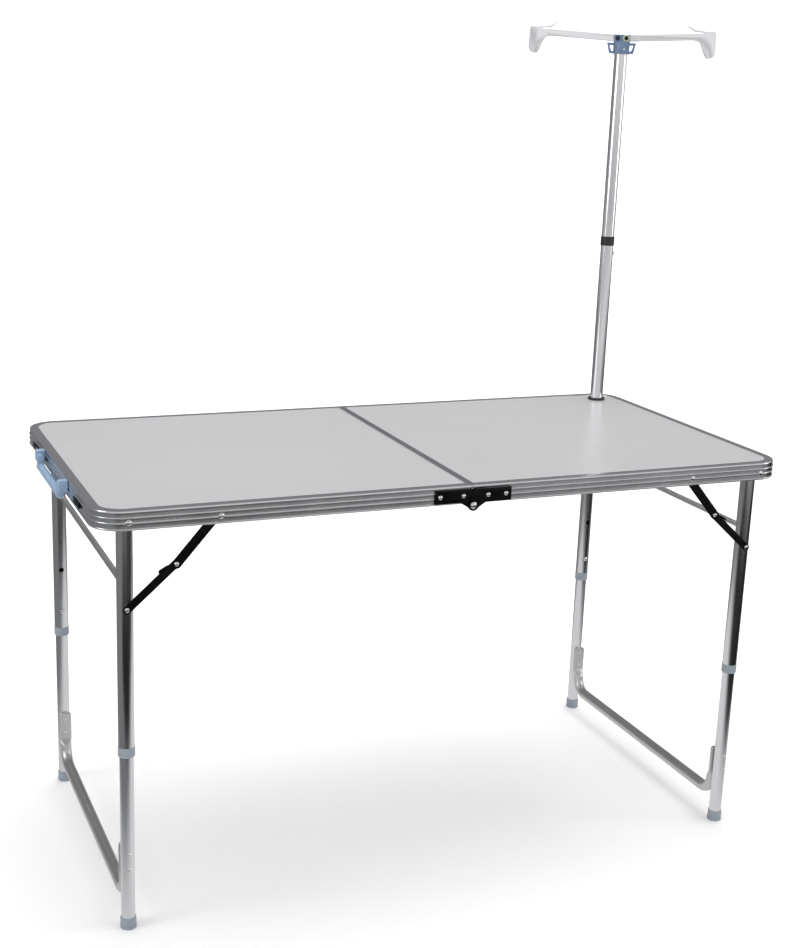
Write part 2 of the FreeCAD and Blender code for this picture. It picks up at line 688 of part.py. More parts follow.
plug = cylinder(pole_bore, V(0, 0, foot_z), Z_AXIS, plug_height)
plug_spigot = cylinder(plug_spigot_radius, V(0, 0, board_top - socket_depth + 1), Z_AXIS,
                       foot_z - board_top + socket_depth)
pole["pole_foot_plug"] = fused([plug, plug_spigot])
lower_tube = tube(pole_radius, pole_bore, V(0, 0, foot_z), Z_AXIS, pole_split - foot_z)
upper_tube = tube(pole_radius, pole_bore, V(0, 0, pole_split), Z_AXIS, pole_top - pole_split)
clip_hole = cylinder(button_radius + button_clearance, V(0, 0, pole_button_height), X_AXIS, drill)
pole["pole_lower_tube"] = lower_tube.cut(clip_hole)
pole["pole_upper_tube"] = upper_tube

ring = cylinder(pole_collar_radius, V(0, 0, pole_split - pole_collar_half), Z_AXIS, 2 * pole_collar_half)
ring = rounded(ring, 0.8, lambda edge: edge.Length > 50 and edge.BoundBox.ZLength < 0.01)
ring = ring.cut(cylinder(pole_radius, V(0, 0, pole_split - 20), Z_AXIS, 20))
pole["pole_collar"] = ring.cut(cylinder(pole_radius + running, V(0, 0, pole_split), Z_AXIS, 20))

spigot_outer = pole_bore - running
spigot_inner = spigot_outer - spigot_wall
spigot_low = tube(spigot_outer, spigot_inner, V(0, 0, pole_split - spigot_below), Z_AXIS, spigot_below)
spigot_high = tube(pole_bore, spigot_inner, V(0, 0, pole_split), Z_AXIS, spigot_above)
pole["pole_spigot"] = fused([spigot_low, spigot_high]).cut(clip_hole)
pole["pole_snap_clip"] = snap_clip(V(0, 0, pole_button_height), X_AXIS, pole_radius, spigot_inner)


def hub_lug(side):
    """Open loop moulded on each side of the hub, under the arm."""
    top = hub_bottom + hub_lug_height
    root = hub_radius - 4
    outer = [(root, top), (hub_radius + hub_lug_top, top), (hub_radius + hub_lug_bottom, hub_bottom + 1),
             (root, hub_bottom + 1)]
    window_top = top - hub_lug_rim
    window_low = hub_bottom + 1 + hub_lug_rim
    inner = [(hub_radius - 0.5, window_top), (hub_radius + hub_lug_top - hub_lug_rim - 0.6, window_top),
             (hub_radius + hub_lug_bottom - hub_lug_rim + 0.6, window_low), (hub_radius - 0.5, window_low)]
    loop = prism(outer, 4, 8).cut(prism(inner, 6, 12))
    return loop if side > 0 else mirror_x(loop)


slot_floor = arm_pivot_height - arm_height / 2 - apart
hub_top = arm_pivot_height + arm_height / 2 + 0.3
sleeve = cylinder(hub_radius, V(0, 0, hub_bottom), Z_AXIS, slot_floor - hub_bottom)
head = block((-hub_radius, hub_radius), (-hub_depth / 2, hub_depth / 2), (slot_floor - 10, hub_top))
head = rounded(head, 2.0, lambda edge: edge.BoundBox.ZLength > 10)
hub = fused([sleeve, head, hub_lug(1), hub_lug(-1)])
slot_half = arm_thickness / 2 + apart
hub = hub.cut(block((-40, 40), (-slot_half, slot_half), (slot_floor, hub_top + 5)))
hub = hub.cut(cylinder(pole_radius, V(0, 0, hub_bottom - 1), Z_AXIS, pole_top - hub_bottom + 1))
pin_places = [V(side * arm_pivot_offset, hub_depth / 2, arm_pivot_height) for side in (-1, 1)]
arm_pins = []
for place in pin_places:
    shank = cylinder(arm_pin_radius, place, V(0, -1, 0), hub_depth)
    screw_head = cylinder(hub_screw_radius, place + V(0, -hub_depth, 0), V(0, -1, 0), hub_screw_height)
    mark_place = place + V(0, -hub_depth - hub_screw_height / 2, 0)
    socket_mark = cylinder(hub_screw_recess, mark_place, V(0, -1, 0), hub_screw_height)
    arm_pins.append(fused([shank, screw_head]).cut(socket_mark))
hub_rivet_base = V(4.5, -hub_radius + 1.2, hub_bottom + 9)
hub_rivet = fused([cylinder(hub_rivet_radius, hub_rivet_base + V(0, 1.5, 0), V(0, -1, 0), 1.5),
                   dome(hub_rivet_base, V(0, -1, 0), hub_rivet_head_radius, 1.2)])
hub = hub.cut(group(arm_pins)).cut(hub_rivet)
pole["pole_hub"] = hub
pole["pole_hub_fasteners"] = group(arm_pins + [hub_rivet])


def hanger_arm():
    """Right arm, drawn level from its pivot: a bar, a hanging lobe and a springy tongue on top."""
    half = arm_height / 2
    tip = arm_reach - arm_pivot_offset
    bar = block((0, tip - lobe_width / 2), (-arm_thickness / 2, arm_thickness / 2), (-half, half))
    eye = cylinder(half - 0.05, V(0, arm_thickness / 2, 0), V(0, -1, 0), arm_thickness)
    lobe_points = [(tip - lobe_width - 12, -half), (tip - lobe_width - 3, -half - 3),
                   (tip - lobe_width + 1, -half - 10),
                   (tip - lobe_foot, -lobe_drop + 10), (tip - lobe_foot + 5, -lobe_drop + 1),
                   (tip - lobe_foot + 11, -lobe_drop), (tip - 5, -lobe_drop + 2), (tip, -lobe_drop + 9),
                   (tip, lobe_rise - 3), (tip - 3, lobe_rise), (tip - 14, lobe_rise), (tip - 20, half)]
    lobe = prism(lobe_points + [(tip - lobe_width - 12, half)], arm_thickness / 2, arm_thickness)
    root = tip - 14
    tongue_points = [(root, lobe_rise), (tip - 40, lobe_rise + 4.2), (tip - 52, lobe_rise + 12),
                     (tip - 53, lobe_rise + 10.4), (tip - 41, lobe_rise + 4.2 - tongue_thickness),
                     (root, lobe_rise - tongue_thickness)]
    tongue = prism(tongue_points, arm_thickness / 2, arm_thickness)
    arm = fused([bar, eye, lobe, tongue])
    arm = arm.cut(cylinder(arm_pin_radius + running, V(0, 20, 0), V(0, -1, 0), 40))
    arm.rotate(V(0, 0, 0), Y_AXIS, -arm_raise)
    arm.translate(V(arm_pivot_offset, 0, arm_pivot_height))
    return arm


pole["pole_arm_right"] = hanger_arm()
pole["pole_arm_left"] = mirror_x(hanger_arm())
for name, shape in pole.items():
    stood = turned(shape, V(0, 0, 0), Z_AXIS, pole_yaw)
    stood.translate(V(pole_x, pole_y, 0))
    parts[name] = stood


# ---- Origin at the bottom centre of the whole object's box, then one file for each piece ----
box = Part.makeCompound(list(parts.values())).BoundBox
shift = V(-box.Center.x, -box.Center.y, -box.ZMin)
os.makedirs("parts", exist_ok=True)
for name, shape in parts.items():
    placed = shape.copy()
    placed.translate(shift)
    if not placed.isValid():
        print("not valid:", name)
    placed.exportStep(os.path.join("parts", name + ".step"))
print(len(parts), "pieces, shift", shift, "box", box.XLength, box.YLength, box.ZLength)
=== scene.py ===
import math

import bmesh
import bpy
import numpy as np
from mathutils import Matrix, Vector


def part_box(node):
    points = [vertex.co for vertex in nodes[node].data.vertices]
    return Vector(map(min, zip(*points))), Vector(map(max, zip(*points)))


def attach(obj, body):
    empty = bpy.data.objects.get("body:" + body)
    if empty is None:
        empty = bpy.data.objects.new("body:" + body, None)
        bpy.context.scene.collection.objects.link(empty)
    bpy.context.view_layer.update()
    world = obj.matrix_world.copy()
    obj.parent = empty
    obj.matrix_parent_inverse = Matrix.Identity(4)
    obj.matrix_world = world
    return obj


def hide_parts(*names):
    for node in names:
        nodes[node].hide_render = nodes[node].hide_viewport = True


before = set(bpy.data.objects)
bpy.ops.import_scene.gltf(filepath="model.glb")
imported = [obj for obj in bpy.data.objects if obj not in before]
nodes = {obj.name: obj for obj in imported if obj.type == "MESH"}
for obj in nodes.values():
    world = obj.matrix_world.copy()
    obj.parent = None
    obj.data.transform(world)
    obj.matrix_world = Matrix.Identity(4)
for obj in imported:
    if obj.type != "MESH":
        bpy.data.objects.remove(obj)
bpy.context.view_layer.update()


# ---- Studio and camera ----
# A pale seamless floor that curves up into a wall far behind. Soft lights stand at both sides,
# above the table and at the wall, and gloss sees a room that is darker below and behind.
def grid_mesh(name, points, close_u=False, close_v=False, capped=False, crease=35):
    """Mesh from an array of points indexed [u, v]. Quads join each point to its next
    neighbours in u and v, and a closed direction also joins the last row to the first.
    capped closes both ends in u with one face each and turns every face outwards."""
    rows, columns = points.shape[:2]
    u = np.arange(rows if close_u else rows - 1)
    v = np.arange(columns if close_v else columns - 1)
    a = (u[:, None] * columns + v).ravel()
    b = (u[:, None] * columns + (v + 1) % columns).ravel()
    c = (((u + 1) % rows)[:, None] * columns + (v + 1) % columns).ravel()
    d = (((u + 1) % rows)[:, None] * columns + v).ravel()
    faces = np.stack([a, b, c, d], 1).tolist()
    if capped:
        faces.append(list(range(columns)))
        faces.append(list(range((rows - 1) * columns, rows * columns)))
    mesh = bpy.data.meshes.new(name)
    mesh.from_pydata(points.reshape(-1, 3).tolist(), [], faces)
    if capped or (close_u and close_v):
        turn_outwards(mesh)
    mesh.polygons.foreach_set("use_smooth", [True] * len(mesh.polygons))
    mesh.set_sharp_from_angle(angle=math.radians(crease))
    mesh.update()
    thing = bpy.data.objects.new(name, mesh)
    bpy.context.scene.collection.objects.link(thing)
    return thing


def turn_outwards(mesh):
    """Merges points that coincide and turns every face outwards."""
    work = bmesh.new()
    work.from_mesh(mesh)
    bmesh.ops.remove_doubles(work, verts=work.verts, dist=1e-7)
    bmesh.ops.recalc_face_normals(work, faces=work.faces)
    work.to_mesh(mesh)
    work.free()


class Socket:
    """A shader value. The arithmetic operators add Math nodes to its tree."""

    def __init__(self, tree, output):
        self.tree = tree
        self.output = output

    def math(self, operation, *values):
        sockets = dict(enumerate((self,) + values))
        return self.node("ShaderNodeMath", {"operation": operation}, sockets)

    def node(self, kind, settings=None, inputs=None, out=0):
        """Adds a node: its settings go in first, then the values or links of its sockets.
        out is the number or the name of the output that comes back."""
        made = self.tree.nodes.new(kind)
        for key, value in (settings or {}).items():
            if key == "ramp":
                ramp = made.color_ramp
                for stop, (place, colour) in enumerate(value):
                    point = ramp.elements[stop] if stop < 2 else ramp.elements.new(place)
                    point.position = place
                    point.color = (*colour, 1)
            else:
                setattr(made, key, value)
        for key, value in (inputs or {}).items():
            if isinstance(value, Socket):
                self.tree.links.new(value.output, made.inputs[key])
            else:
                made.inputs[key].default_value = value
        return Socket(self.tree, made.outputs[out])

    def __add__(self, other): return self.math("ADD", other)
    def __sub__(self, other): return self.math("SUBTRACT", other)
    def __mul__(self, other): return self.math("MULTIPLY", other)
    def __radd__(self, other): return self.math("ADD", other)
    def __rmul__(self, other): return self.math("MULTIPLY", other)
    def __rsub__(self, other): return (self * -1.0) + other


def new_material(name, colour, roughness, metallic=0.0, **extra):
    """Material with one Principled shader. Returns it, its shader node and Object coordinates."""
    material = bpy.data.materials.new(name)
    material.use_nodes = True
    tree = material.node_tree
    shader = tree.nodes["Principled BSDF"]
    shader.inputs["Base Color"].default_value = (*colour, 1)
    shader.inputs["Roughness"].default_value = roughness
    shader.inputs["Metallic"].default_value = metallic
    for key, value in extra.items():
        shader.inputs[key.replace("_", " ")].default_value = value
    place = tree.nodes.new("ShaderNodeTexCoord")
    return material, shader, Socket(tree, place.outputs["Object"])


def feed(shader, socket_name, value):
    """Links a value to one of the shader's sockets."""
    shader.id_data.links.new(value.output, shader.inputs[socket_name])


def noise(place, scale, stretch=(1, 1, 1), detail=4.0, roughness=0.5):
    """Smooth noise from 0 to 1. The pattern is finer along an axis with a larger stretch."""
    vector = place.node("ShaderNodeVectorMath", {"operation": "MULTIPLY"}, {0: place, 1: stretch})
    return place.node("ShaderNodeTexNoise", {}, {"Vector": vector, "Scale": scale, "Detail": detail,
                                                 "Roughness": roughness})


def band(value, low, high):
    """Straight ramp from 0 at low to 1 at high, held flat outside."""
    return value.node("ShaderNodeMapRange", {}, {"Value": value, "From Min": low, "From Max": high})


def tint(factor, dark, light):
    """Colour that runs from dark to light as the factor goes from 0 to 1."""
    return factor.node("ShaderNodeMix", {"data_type": "RGBA"},
                       {"Factor": factor, 6: (*dark, 1), 7: (*light, 1)}, out=2)


def bump(shader, height, distance, strength=1.0):
    """Tilts the surface by a height that runs over the given distance in metres."""
    feed(shader, "Normal", height.node("ShaderNodeBump", {}, {
        "Height": height, "Distance": distance, "Strength": strength}))


heading = math.radians(23.31)
floor_near = -12.0
floor_far = 5.0
wall_bend = 3.0
wall_top = 16.0
studio_half_width = 14.0


def studio_surface(name, depth, rise, half_width):
    """Surface from a side profile of depths and heights, carried straight across the view."""
    across = np.array([half_width, -half_width])
    points = np.zeros((2, len(depth), 3))
    points[..., 0] = across[:, None] * math.cos(heading) + depth[None] * math.sin(heading)
    points[..., 1] = -across[:, None] * math.sin(heading) + depth[None] * math.cos(heading)
    points[..., 2] = rise[None]
    return grid_mesh(name, points)


floor = studio_surface("studio_floor", np.array([floor_near, floor_far]), np.zeros(2), studio_half_width)
bend = np.linspace(0, math.pi / 2, 15)
wall_depth = np.append(floor_far + wall_bend * np.sin(bend), floor_far + wall_bend)
wall_rise = np.append(wall_bend - wall_bend * np.cos(bend), wall_top)
wall = studio_surface("studio_wall", wall_depth, wall_rise, studio_half_width)
floor_paint, shader, place = new_material("studio_white", (0.93, 0.93, 0.93), 0.9)
for thing in (floor, wall):
    thing.data.materials.append(floor_paint)
wall.visible_glossy = False

# A glowing sheet over the whole floor that only gloss sees. It is no lamp and paints the reflections:
# its glow is pale under the table, grey around it, bright far in front and dark in one zone between,
# so bright tubes get painted reflected streaks that show their roundness.
flag_reach = 7.0
flag_height = 0.004
flag = studio_surface("studio_flag", np.array([-flag_reach, flag_reach]), np.full(2, flag_height), flag_reach)
glow_sheet = bpy.data.materials.new("studio_reflection_glow")
glow_sheet.use_nodes = True
tree = glow_sheet.node_tree
tree.nodes.remove(tree.nodes["Principled BSDF"])
place = Socket(tree, tree.nodes.new("ShaderNodeTexCoord").outputs["Object"])


def smooth(value, low, high):
    """Smooth step from 0 at low to 1 at high. low may be the larger of the two."""
    return value.node("ShaderNodeMapRange", {"interpolation_type": "SMOOTHSTEP"},
                      {"Value": value, "From Min": low, "From Max": high})


squeezed = place.node("ShaderNodeVectorMath", {"operation": "MULTIPLY"}, {0: place, 1: (0.8, 0.9, 0)})
reach = squeezed.node("ShaderNodeVectorMath", {"operation": "LENGTH"}, {0: squeezed}, out=1)
side = place.node("ShaderNodeSeparateXYZ", {}, {"Vector": place}, out="X")
front = place.node("ShaderNodeSeparateXYZ", {}, {"Vector": place}, out="Y")
slant_start = 0.2
slant = 0.6
drawn_in = front - (side - slant_start).math("MAXIMUM", 0.0) * slant
dark = smooth(drawn_in, -0.75, -1.1) * smooth(side, -1.9, -1.5) * smooth(drawn_in, -3.0, -2.6)
pale = tint(smooth(reach, 0.95, 0.45), (0.19, 0.195, 0.20), (0.75, 0.75, 0.76))
pale = dark.node("ShaderNodeMix", {"data_type": "RGBA"},
                 {"Factor": smooth(front, -3.1, -3.5), 6: pale, 7: (0.85, 0.85, 0.86, 1)}, out=2)
shade = dark.node("ShaderNodeMix", {"data_type": "RGBA"},
                  {"Factor": dark, 6: pale, 7: (0.012, 0.011, 0.011, 1)}, out=2)
# The sheet glows with this painted colour. It lights nothing and only sets what gloss reflects.
glow = dark.node("ShaderNodeEmission", {}, {"Color": shade})
tree.links.new(glow.output, tree.nodes["Material Output"].inputs["Surface"])
flag.data.materials.append(glow_sheet)
flag.visible_camera = False
flag.visible_diffuse = False
flag.visible_shadow = False
flag.visible_transmission = False

camera_data = bpy.data.cameras.new("camera")
camera_data.sensor_fit = "VERTICAL"
camera_data.sensor_height = 36.0
camera_data.lens = 56.14
camera_data.clip_end = 60
camera = bpy.data.objects.new("camera", camera_data)
bpy.context.scene.collection.objects.link(camera)
look = Vector((0.38264, 0.88823, -0.25423)).normalized()
right = Vector((0.92155, -0.38653, 0.03657)).normalized()
up = right.cross(look)
camera.matrix_world = Matrix(((right.x, up.x, -look.x, -1.0408), (right.y, up.y, -look.y, -2.3436),
                              (right.z, up.z, -look.z, 1.2967), (0, 0, 0, 1)))
bpy.context.scene.camera = camera


def soft_light(name, place, aim, size, power):
    """Rectangular lamp at a place, turned to face the aim."""
    light = bpy.data.lights.new(name, "AREA")
    light.shape = "RECTANGLE"
    light.size, light.size_y = size
    light.energy = power
    lamp = bpy.data.objects.new(name, light)
    lamp.location = place
    lamp.rotation_euler = (Vector(aim) - Vector(place)).to_track_quat("-Z", "Y").to_euler()
    bpy.context.scene.collection.objects.link(lamp)
    return lamp


table_middle = (0, 0, 0.7)
overhead = soft_light("overhead", (0.3, 0.4, 3.9), table_middle, (5.0, 4.0), 150)
overhead.visible_glossy = False
soft_light("left_side", (-3.6, -0.6, 1.9), table_middle, (1.4, 2.4), 34)
soft_light("right_side", (3.9, -1.8, 1.8), table_middle, (1.0, 2.4), 26)
backdrop = soft_light("backdrop", (2.0, 3.4, 5.5), (3.4, 8.0, 2.0), (7, 2), 330)
backdrop.visible_glossy = False
world = bpy.data.worlds.new("room")
world.use_nodes = True
tree = world.node_tree
background = tree.nodes["Background"]
sky = Socket(tree, tree.nodes.new("ShaderNodeTexCoord").outputs["Generated"])
height = sky.node("ShaderNodeSeparateXYZ", {}, {"Vector": sky}, out="Z")
behind = sky.node("ShaderNodeSeparateXYZ", {}, {"Vector": sky}, out="Y")
below = (0.22, 0.22, 0.23)
horizon = (0.85, 0.85, 0.86)
overhead_grey = (0.5, 0.5, 0.51)
ramp = [(0.0, below), (0.46, below), (0.50, horizon), (1.0, overhead_grey)]
room = height.node("ShaderNodeValToRGB", {"ramp": ramp}, {"Fac": height * 0.5 + 0.5})
room = room.node("ShaderNodeMix", {"data_type": "RGBA"},
                 {"Factor": smooth(behind, -0.1, 0.5), 6: room, 7: (0.24, 0.24, 0.25, 1)}, out=2)
seen = room.node("ShaderNodeLightPath")
white = room.node("ShaderNodeMix", {"data_type": "RGBA"},
                  {"Factor": seen, 6: room, 7: (1, 1, 1, 1)}, out=2)
tree.links.new(white.output, background.inputs["Color"])
bpy.context.scene.world = world
bpy.context.scene.view_settings.view_transform = "Standard"

# ---- Boards ----
# Two thin fibreboards with a printed light grey laminate, cut with two rounded corners each.
# Each slides into its half's rim and is held by the rim's lip and the centre rail.
laminate, shader, place = new_material("laminate", (0.5, 0.5, 0.51), 0.35)
speckle = noise(place, 900, detail=2)
cloud = noise(place, 2.2, detail=3)
wiped = noise(place, 5, (1, 6, 1), detail=5)
feed(shader, "Base Color", tint(cloud * 0.6 + speckle * 0.4, (0.40, 0.40, 0.405), (0.465, 0.465, 0.47)))
feed(shader, "Roughness", wiped * 0.12 + speckle * 0.06 + 0.24)
bump(shader, noise(place, 1400, detail=1), 0.00003, 0.5)


def dress(material, *names):
    """Gives CAD pieces a material in place of the one they came with."""
    for name in names:
        node = nodes[name]
        node.data.materials.clear()
        node.data.materials.append(material)


def finish_piece(piece, material, body, slot, *replaced):
    """Gives a new piece its material and body, and hides the CAD nodes it stands for. The slot is not used.
    """
    piece.data.materials.append(material)
    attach(piece, body)
    if replaced:
        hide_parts(*replaced)


dress(laminate, "left_panel", "right_panel")

# ---- Rims and centre rails ----
# Anodised extrusion bent round the two outer corners of each half. Its side has three beads
# with shallow flutes between them, its top turns in over the board, and a flange stiffens it below.
anodised, shader, place = new_material("anodised_rim", (0.8, 0.8, 0.81), 0.22, 1.0)
grain = noise(place, 2600, (0.004, 0.004, 1), detail=4)
haze = noise(place, 14, detail=4)
feed(shader, "Roughness", grain * 0.10 + haze * 0.10 + 0.10)
feed(shader, "Base Color", tint(haze * 0.7 + grain * 0.3, (0.70, 0.705, 0.72), (0.86, 0.865, 0.87)))
bump(shader, grain, 0.000012, 0.5)
bead_drops = np.array([10.5, 18.6, 27.6]) / 1000
bead_height = 0.0012
bead_half = 0.00105
flute_depth = 0.00003
rim_corner = 0.05
rim_depth = 0.03
rim_wall = 0.0028
rim_flange = 0.0088
flange_thickness = 0.0012
lip_width = 0.016
lip_thickness = 0.001
lip_round = 0.0004
shoulder_round = 0.0024
toe_round = 0.0008
shelf_top = 0.0038
shelf_foot = 0.005


def arc(centre, radius, start, end, count):
    """Points on a circle, as (first, second) coordinates, between two angles in degrees."""
    turn = np.radians(np.linspace(start, end, count))
    return np.stack([centre[0] + radius * np.cos(turn), centre[1] + radius * np.sin(turn)], 1)


def rim_section():
    """Closed outline of the extrusion as (inset, drop). Its side stands bead_height in from the
    outer edge. Each bead is a half ellipse, and each flute between beads a raised cosine."""
    edge = bead_height
    lip = arc((lip_width - lip_round, lip_round), lip_round, 0, -90, 4)
    shoulder = arc((edge + shoulder_round, shoulder_round), shoulder_round, -90, -180, 9)
    drop = np.linspace(0.0028, rim_depth - 0.0009, 90)
    bead = np.sqrt(np.clip(1 - ((drop[:, None] - bead_drops) / bead_half) ** 2, 0, 1)).max(1)
    stops = np.concatenate([[lip_thickness], bead_drops])
    phase = np.interp(drop, stops, np.arange(len(stops)))
    flute = 0.5 - 0.5 * np.cos(2 * math.pi * phase)
    side = np.stack([edge + flute_depth * flute * (bead == 0) - bead_height * bead, drop], 1)
    toe = arc((edge + toe_round, rim_depth - toe_round), toe_round, 180, 90, 4)
    flange_top = rim_depth - flange_thickness
    inside = [(rim_flange, rim_depth), (rim_flange, flange_top), (rim_wall, flange_top),
              (rim_wall, shelf_foot), (rim_flange, shelf_foot), (rim_flange, shelf_top),
              (rim_wall, shelf_top), (rim_wall, lip_thickness), (lip_width, lip_thickness)]
    return np.concatenate([lip, shoulder, side, toe, inside])


def rim_route(low, high, outward):
    """Plan of the outer edge from the seam, round two corners and back to the seam. Each row
    is the centre that the section turns about, its radius there and its outward direction."""
    end_x = high[0] if outward > 0 else low[0]
    seam_x = low[0] if outward > 0 else high[0]
    rows = []
    for side, start, end in ((-1, -90, 0), (1, 0, 90)):
        centre = (end_x - outward * rim_corner, side * (high[1] - low[1]) / 2 - side * rim_corner)
        turn = np.radians(np.linspace(start, end, 25))
        away = np.stack([outward * np.cos(turn), np.sin(turn)], 1)
        rows.append(np.concatenate([np.tile(centre, (25, 1)), away], 1))
    first = rows[0][0].copy()
    last = rows[1][-1].copy()
    first[0] = last[0] = seam_x
    return np.concatenate([[first], rows[0], rows[1], [last]])


def make_rim(end, outward):
    """Carries the section along the route. Each point stands at the corner's radius less its
    inset from the centre that the route turns about, and at the top less its drop."""
    low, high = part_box(f"{end}_rim")
    route = rim_route(low, high, outward)
    section = rim_section()
    reach = rim_corner - section[None, :, 0]
    points = np.zeros((len(route), len(section), 3))
    points[..., 0] = route[:, None, 0] + route[:, None, 2] * reach
    points[..., 1] = route[:, None, 1] + route[:, None, 3] * reach + (low[1] + high[1]) / 2
    points[..., 2] = high[2] - section[None, :, 1]
    rim = grid_mesh(f"{end}_rim_extrusion", points, close_v=True, capped=True)
    finish_piece(rim, anodised, f"{end}_half", "rim_aluminium", f"{end}_rim")


ends = ("left", "right")
for end, outward in zip(ends, (-1, 1)):
    make_rim(end, outward)
dress(anodised, "left_centre_rail", "right_centre_rail")

# ---- Leg tubes and pole tubes ----
# Drawn aluminium tube, bright, with faint lengthwise drawing lines and handling haze. The lower
# legs slide in the upper ones, and the pole's two tubes join on a spigot.
drawn, shader, place = new_material("drawn_tube", (0.78, 0.78, 0.79), 0.2, 1.0)
lines = noise(place, 420, (1, 1, 0.01), detail=3)
haze = noise(place, 24, (1, 1, 0.3), detail=4)
feed(shader, "Roughness", lines * 0.10 + haze * 0.12 + 0.07)
feed(shader, "Base Color", tint(haze * 0.6 + lines * 0.4, (0.68, 0.685, 0.70), (0.86, 0.862, 0.87)))
bump(shader, lines, 0.00002, 0.35)
for end in ends:
    dress(drawn, f"front_{end}_upper_leg", f"rear_{end}_upper_leg",
          f"front_{end}_lower_leg", f"rear_{end}_lower_leg")
dress(drawn, "pole_lower_tube", "pole_upper_tube", "pole_spigot")

# ---- Crossbars and stretchers ----
# Satin tube, duller than the legs. Each stretcher is bent to a wide U between the two lower legs
# of an end. Its ends are pressed flat and riveted to the legs' inner sides, with a crimp where the
# round tube turns into the flat.
satin_tube, shader, place = new_material("satin_tube", (0.6, 0.6, 0.59), 0.38, 1.0)
lines = noise(place, 420, (1, 0.01, 1), detail=3)
haze = noise(place, 30, (1, 0.4, 1), detail=4)
feed(shader, "Roughness", lines * 0.12 + haze * 0.14 + 0.26)
feed(shader, "Base Color", tint(haze * 0.6 + lines * 0.4, (0.50, 0.50, 0.49), (0.68, 0.68, 0.67)))
bump(shader, lines, 0.00002, 0.4)
dress(satin_tube, "left_crossbar", "right_crossbar")
stretcher_radius = 0.01
stretcher_bend = 0.03
flat_half_width = 0.0115
flat_half_thickness = 0.00275
flat_inset = 0.00175
crimp_top = 0.095
tip_drops = np.array([0.0, 0.0012, 0.004])
tip_widths = (0.80, 0.92, 0.99)
section_points = 48


def stretcher_half(low, high):
    """Stations from the flat end's top down to the middle of the run, each with its centre
    (across, up), its tangent and its two half-widths. Flat turns to round by a smooth step."""
    half = (high[1] - low[1]) / 2
    level = low[2] + stretcher_radius
    bend_y = half - flat_half_thickness * 2 - flat_inset - stretcher_bend
    flat_y = half - flat_half_thickness
    up = np.concatenate([high[2] - tip_drops,
                         np.linspace(high[2] - 0.008, crimp_top + 0.004, 5),
                         np.linspace(crimp_top, level + stretcher_bend, 16)])
    step = np.clip((crimp_top - up) / (crimp_top - level - stretcher_bend), 0, 1)
    step = step * step * (3 - 2 * step)
    round_y = bend_y + stretcher_bend
    across = flat_y + (round_y - flat_y) * step
    tangent = np.stack([np.zeros_like(up), -np.ones_like(up)], 1)
    turn = np.linspace(0, math.pi / 2, 16)[1:]
    bend = np.stack([bend_y + stretcher_bend * np.cos(turn),
                     level + stretcher_bend - stretcher_bend * np.sin(turn)], 1)
    bend_tangent = np.stack([-np.sin(turn), -np.cos(turn)], 1)
    run = np.array([[bend_y * 0.5, level], [0.0, level]])
    centre = np.concatenate([np.stack([across, up], 1), bend, run])
    tangent = np.concatenate([tangent, bend_tangent, [[-1, 0], [-1, 0]]])
    tip = np.ones_like(up)
    tip[:len(tip_widths)] = tip_widths
    round_part = np.full(len(bend) + len(run), stretcher_radius)
    wide = (flat_half_width + (stretcher_radius - flat_half_width) * step) * tip
    wide = np.concatenate([wide, round_part])
    thick = flat_half_thickness + (stretcher_radius - flat_half_thickness) * step
    thick = np.concatenate([thick, round_part])
    square = np.concatenate([step, np.ones(len(round_part))])
    return centre, tangent, wide, thick, square


def make_stretcher(end):
    """Superellipse section, squarer where the tube is flat, carried along the half route and
    mirrored to the other side."""
    low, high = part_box(f"{end}_stretcher")
    centre, tangent, wide, thick, square = stretcher_half(low, high)
    angle = np.linspace(0, 2 * math.pi, section_points, endpoint=False)
    power = 0.45 + 0.55 * square[:, None]
    along_x = np.sign(np.cos(angle)) * np.abs(np.cos(angle)) ** power * wide[:, None]
    along_n = np.sign(np.sin(angle)) * np.abs(np.sin(angle)) ** power * thick[:, None]
    normal = np.stack([tangent[:, 1], -tangent[:, 0]], 1)
    half = np.zeros((len(centre), section_points, 3))
    half[..., 0] = along_x
    half[..., 1] = centre[:, None, 0] - normal[:, None, 0] * along_n
    half[..., 2] = centre[:, None, 1] - normal[:, None, 1] * along_n
    other = half[:-1][::-1] * np.array([1, -1, 1])
    points = np.concatenate([half, other])
    points += np.array([(low[0] + high[0]) / 2, (low[1] + high[1]) / 2, 0])
    tube = grid_mesh(f"{end}_stretcher_tube", points, close_v=True, capped=True, crease=50)
    finish_piece(tube, satin_tube, f"{end}_lower_legs", "leg_aluminium", f"{end}_stretcher")


for end in ends:
    make_stretcher(end)

# ---- Collars and feet ----
# Moulded grey-blue plastic. A collar is pressed on each upper leg's end and guides the lower
# leg. A foot cap with a hollowed sole closes each lower leg.
grey_plastic, shader, place = new_material("grey_plastic", (0.23, 0.27, 0.32), 0.45)
mould = noise(place, 1600, detail=2)
scuff = noise(place, 60, detail=5)
feed(shader, "Base Color", tint(scuff, (0.235, 0.27, 0.31), (0.30, 0.335, 0.375)))
feed(shader, "Roughness", scuff * 0.2 + 0.36)
bump(shader, mould, 0.00004, 0.5)


def lathe(name, profile, centre, segments=56):
    """Closed profile of (radius, height) turned once round an upright axis."""
    turn = np.linspace(0, 2 * math.pi, segments, endpoint=False)
    profile = np.asarray(profile)
    points = np.zeros((segments, len(profile), 3))
    points[..., 0] = centre[0] + np.cos(turn)[:, None] * profile[None, :, 0]
    points[..., 1] = centre[1] + np.sin(turn)[:, None] * profile[None, :, 0]
    points[..., 2] = profile[None, :, 1]
    return grid_mesh(name, points, close_u=True, close_v=True)


def ringed(outer, base, ring):
    """Points of a groove, each given as its inset from the outer radius and its height."""
    return np.stack([outer - ring[:, 0], base + ring[:, 1]], 1)


